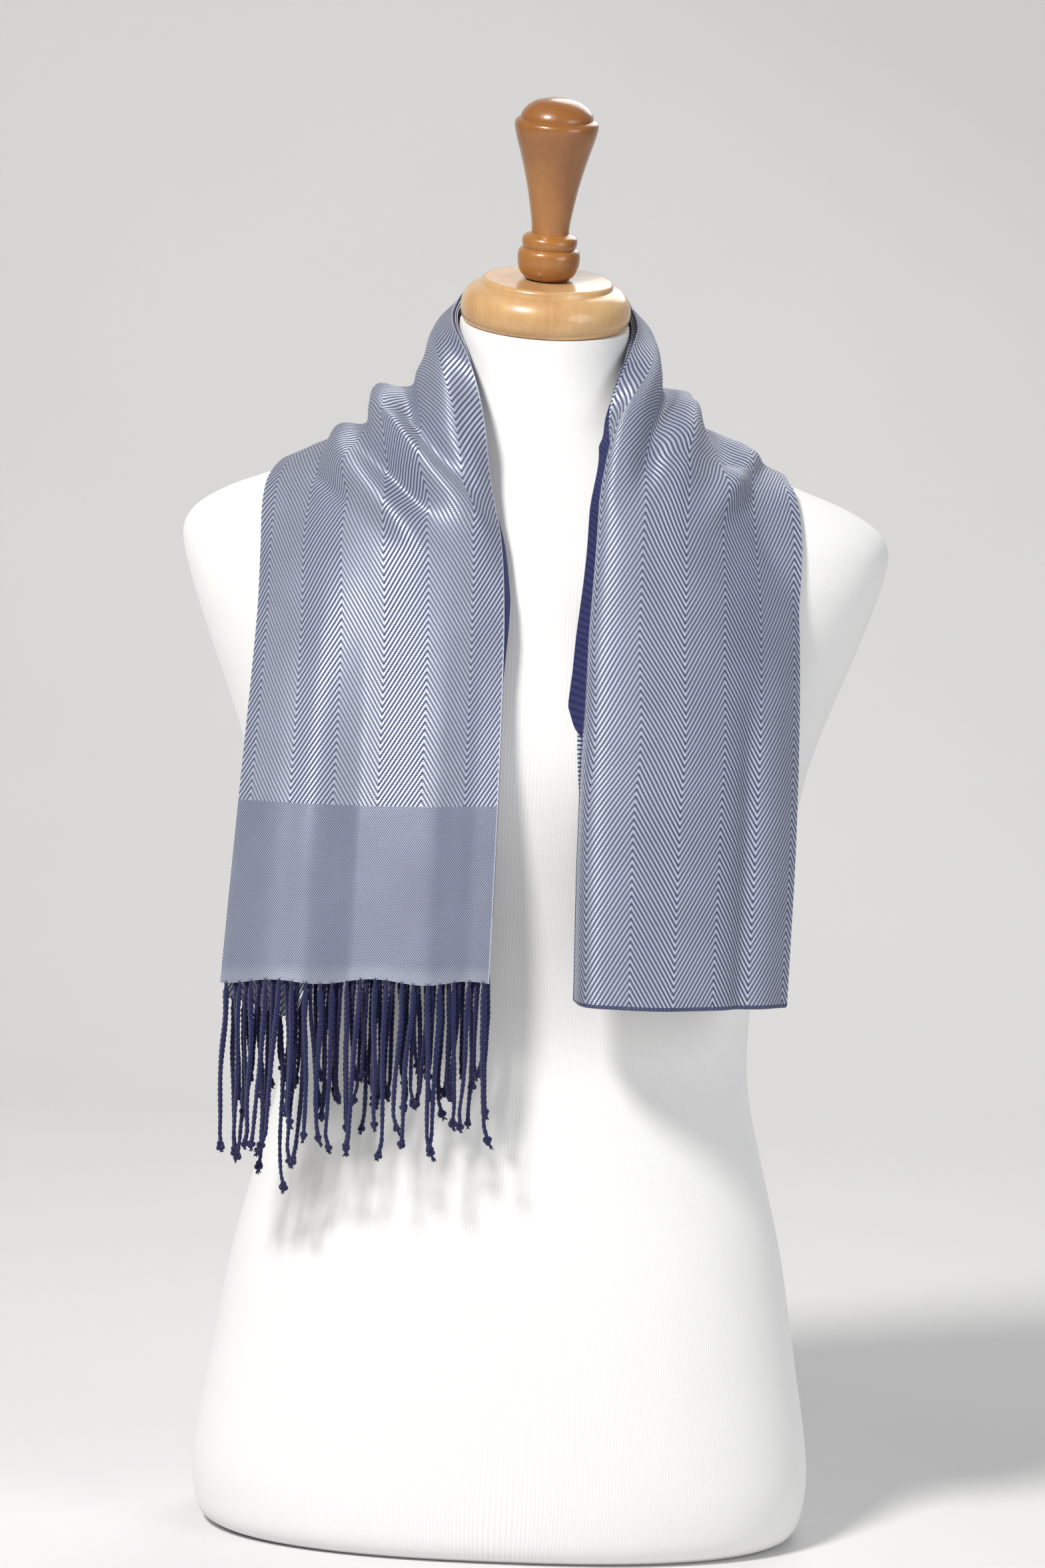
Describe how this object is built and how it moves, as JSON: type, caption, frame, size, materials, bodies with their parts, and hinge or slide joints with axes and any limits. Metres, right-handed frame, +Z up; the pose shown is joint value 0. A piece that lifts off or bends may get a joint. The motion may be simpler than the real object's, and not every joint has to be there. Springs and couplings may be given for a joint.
{
  "type": "wool scarf on a dress form",
  "caption": "Fringed twill herringbone scarf, folded double and hung round the neck of a limbless jersey dress form with a turned wooden neck cap and finial.",
  "frame": {"origin": "centre of the flat underside of the dress form", "axes": "+Z up, +X to the viewer's right as seen from the front, the front of the form faces -Y"},
  "size_m": [0.386, 0.2527, 0.7831],
  "materials": {
    "jersey": "white knitted jersey, matt, fine vertical ribs",
    "maple": "pale turned wood, clear gloss varnish",
    "honey_wood": "honey brown turned wood, clear gloss varnish",
    "scarf_face": "fine herringbone twill, silver-white weft on navy warp, soft sheen",
    "scarf_reverse": "navy reverse of the same twill, matt",
    "fringe": "navy twisted and knotted warp ends"
  },
  "bodies": {
    "root": {"form_torso": "jersey", "neck_cap": "maple", "finial": "honey_wood", "scarf_left_fall": "scarf_face", "scarf_neck_stretch": "scarf_face", "scarf_right_fall": "scarf_face", "under_left_fall": "scarf_reverse", "under_neck_stretch": "scarf_reverse", "under_right_fall": "scarf_reverse", "third_layer_end": "scarf_face", "fringe_front": "fringe", "fringe_second": "fringe", "fringe_third": "fringe", "fringe_back": "fringe"}
  },
  "joints": []
}
